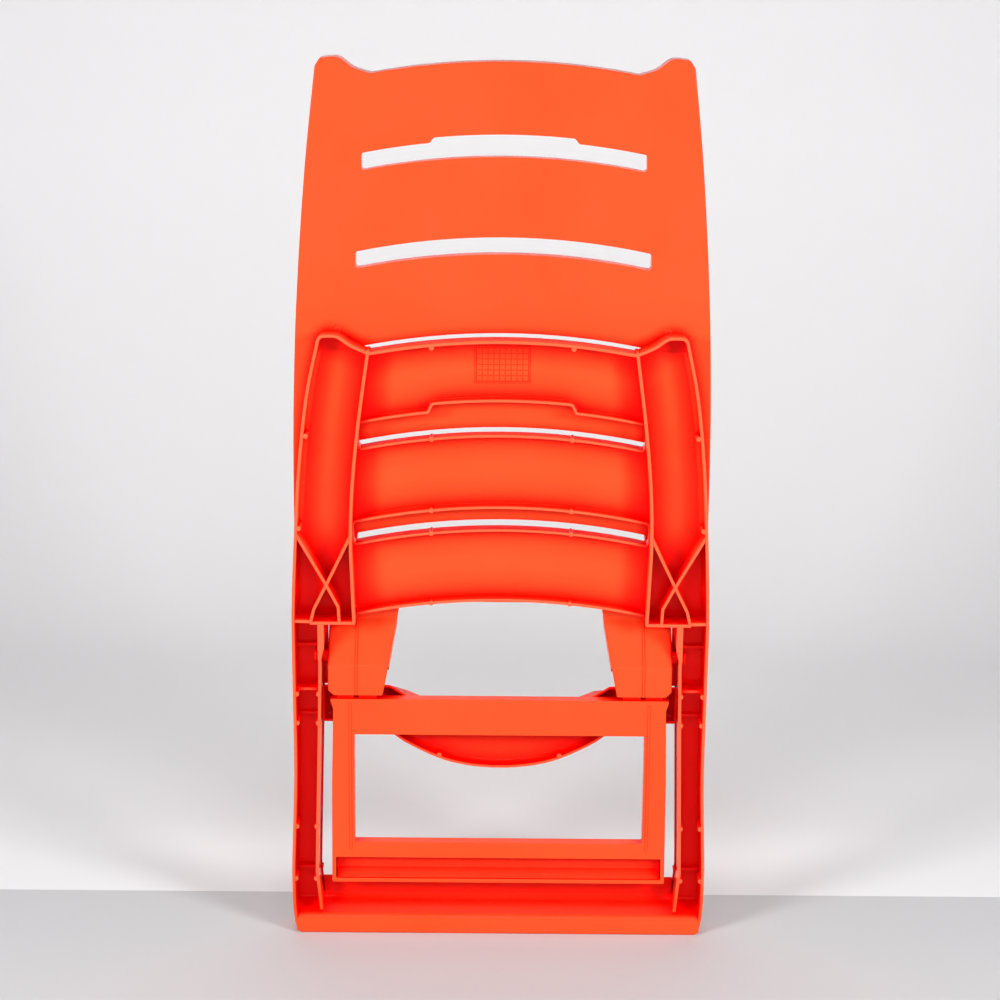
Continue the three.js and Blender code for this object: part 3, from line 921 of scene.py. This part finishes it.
def lugs(bm):
    """The knuckles that enter the tabs and turn on the hinge pins."""
    y, z, radius = LEG_HINGE["y"], LEG_HINGE["z"], LEG_HINGE["radius"]
    turns = [math.pi * i / 10 for i in range(11)]
    profile = [(y + radius * math.cos(turn), z + radius * math.sin(turn)) for turn in turns]
    profile = [*profile, (y - 4, LEG_TOP - 6), (y + 4, LEG_TOP - 6)]
    inner_knuckle = (TAB_INNER_BOTTOM + 9, TAB_RIB - 3.5)
    outer_knuckle = (TAB_RIB + 3.5, TAB_OUTER - TAB_CHAMFER - 6)
    for left, right in (inner_knuckle, outer_knuckle):
        bar(bm, profile, left, right, 0.6)
        bar(bm, profile, -right, -left, 0.6)


def opening(box):
    """The outline of a rectangular opening that is centred on the lounger."""
    side = box["half_width"]
    return [(-side, box["top"]), (side, box["top"]), (side, box["bottom"]), (-side, box["bottom"])]


def leg_frame():
    """A rectangular frame with a trough along its lower bar, ridges on its sides and knuckles on top."""
    bm = bmesh.new()
    side, bottom, floor = TROUGH["half_width"], TROUGH["bottom"], TROUGH["floor"]
    skin = LEG_FRONT + WALL
    wall = RIM - 1
    near_corners = [(EDGE, LEG_FRONT), (0, LEG_FRONT), (0, floor), (-FILLET, floor)]
    near = rounded(near_corners, [EDGE, FILLET], closed=False)
    far_corners = [(wall + FILLET, skin), (wall, skin), (wall, LEG_REAR), (wall - EDGE, LEG_REAR)]
    far = rounded(far_corners, [FILLET, EDGE], closed=False)
    edge = turned_edge(LEG_FRONT, LEG_REAR, WALL, LEG_ROUND)
    pockets = [(rounded(opening(TROUGH), 1.5), near, far)]
    sheet(bm, leg_outline(), edge, [(rounded(opening(WINDOW), 2), edge)], pockets)
    slope = [(floor + 1, bottom + 13), (LEG_FRONT + 3, bottom - 1), (floor + 1, bottom - 1)]
    bar(bm, slope, 1 - side, side - 1, 0.3)
    for sign in (-1, 1):
        x = sign * RIDGE["x"]
        ridge = band([(x, RIDGE["top"]), (x, RIDGE["bottom"])], RIDGE["width"])
        plate(bm, ridge, LEG_FRONT - RIDGE["height"], LEG_FRONT + SINK, 0.6)
    lugs(bm)
    piece("leg_shell", bm, "leg", "leg_plastic", "leg_frame")


seat_moulding()
crossmember_and_foot()
back_moulding()
leg_frame()

# ---------- Small fittings: the CAD solids with better finishes ----------

for name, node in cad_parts.items():
    if "pivot" in name or "pin" in name:
        fitting_finish = "pin_steel" if name.startswith("leg_hinge") else "fitting_plastic"
        node.data.materials.clear()
        node.data.materials.append(finishes[fitting_finish])

# ---------- Floor, light and camera ----------


def one_way_material(name, colour):
    """A plain matt surface that lets everything through when it's seen from behind."""
    material, nodes, links, shader = new_material(name)
    shader.inputs["Base Color"].default_value = (*colour, 1)
    shader.inputs["Roughness"].default_value = 0.7
    shader.inputs["Specular IOR Level"].default_value = 0.2
    side = nodes.new("ShaderNodeNewGeometry")
    clear = nodes.new("ShaderNodeBsdfTransparent")
    one_way = nodes.new("ShaderNodeMixShader")
    links.new(side.outputs["Backfacing"], one_way.inputs["Fac"])
    links.new(shader.outputs["BSDF"], one_way.inputs[1])
    links.new(clear.outputs["BSDF"], one_way.inputs[2])
    links.new(one_way.outputs["Shader"], nodes["Material Output"].inputs["Surface"])
    return material


def backdrop(width, front, seam, wall, height, bend):
    """A pale floor, and from the seam on a paler sheet that curves up into a wall."""
    bm = bmesh.new()
    corner = rounded([(seam, 0), (wall, 0), (wall, height)], bend, closed=False, steps=16)
    line = [(front, 0), *corner]
    loft(bm, [[(x, y, z) for y, z in line] for x in (width / 2, -width / 2)], closed=False)
    mesh = bpy.data.meshes.new("backdrop")
    bm.to_mesh(mesh)
    bm.free()
    mesh.materials.append(one_way_material("floor", (0.6, 0.6, 0.61)))
    mesh.materials.append(one_way_material("wall", (0.86, 0.86, 0.87)))
    for i, polygon in enumerate(mesh.polygons):
        polygon.use_smooth = True
        polygon.material_index = min(i, 1)
    made = bpy.data.objects.new("backdrop", mesh)
    bpy.context.scene.collection.objects.link(made)
    made.visible_shadow = False  # or the floor would count as a wall in the measure of openness


def softbox(name, azimuth, elevation, distance, size, power):
    """A soft light that looks at the middle of the lounger, from a direction as the camera's is given."""
    light = bpy.data.lights.new(name, "AREA")
    light.shape = "RECTANGLE"
    light.size, light.size_y = size
    light.energy = power
    made = bpy.data.objects.new(name, light)
    bpy.context.scene.collection.objects.link(made)
    turn, rise = math.radians(azimuth), math.radians(elevation)
    away = Vector((math.sin(turn) * math.cos(rise), -math.cos(turn) * math.cos(rise), math.sin(rise)))
    made.location = Vector((0, 0, 0.65)) + distance * away
    made.rotation_mode = "QUATERNION"
    made.rotation_quaternion = (-away).to_track_quat("-Z", "Y")
    made.visible_camera = False


def soft_world(strength):
    world = bpy.data.worlds.new("studio")
    bpy.context.scene.world = world
    world.use_nodes = True
    background = world.node_tree.nodes["Background"]
    background.inputs["Color"].default_value = (1, 1, 1, 1)
    background.inputs["Strength"].default_value = strength


def camera(elevation, distance, aim_height, aim_side, roll):
    """A long lens in front of the lounger, looking slightly down."""
    data = bpy.data.cameras.new("camera")
    data.lens = 86.4
    data.sensor_width = 36
    made = bpy.data.objects.new("camera", data)
    bpy.context.scene.collection.objects.link(made)
    target = Vector((aim_side, 0, aim_height))
    angle = math.radians(elevation)
    made.location = target + distance * Vector((0, -math.cos(angle), math.sin(angle)))
    made.rotation_euler = (math.pi / 2 - angle, math.radians(roll), 0)
    bpy.context.scene.camera = made


backdrop(width=16, front=-8, seam=0.106, wall=2.2, height=9, bend=1.6)
softbox("left softbox", azimuth=-46, elevation=16, distance=3.2, size=(0.9, 0.9), power=84)
softbox("right softbox", azimuth=46, elevation=16, distance=3.2, size=(0.9, 0.9), power=84)
softbox("front softbox", azimuth=0, elevation=-2, distance=4.4, size=(3.2, 1.3), power=10)
softbox("high softbox", azimuth=0, elevation=46, distance=3.2, size=(1.4, 0.7), power=20)
softbox("rear softbox", azimuth=180, elevation=55, distance=2.6, size=(2.4, 1.2), power=8)
soft_world(0.1)
camera(elevation=14, distance=3.45, aim_height=0.653, aim_side=-0.009, roll=-0.48)
bpy.context.scene.view_settings.view_transform = "Standard"
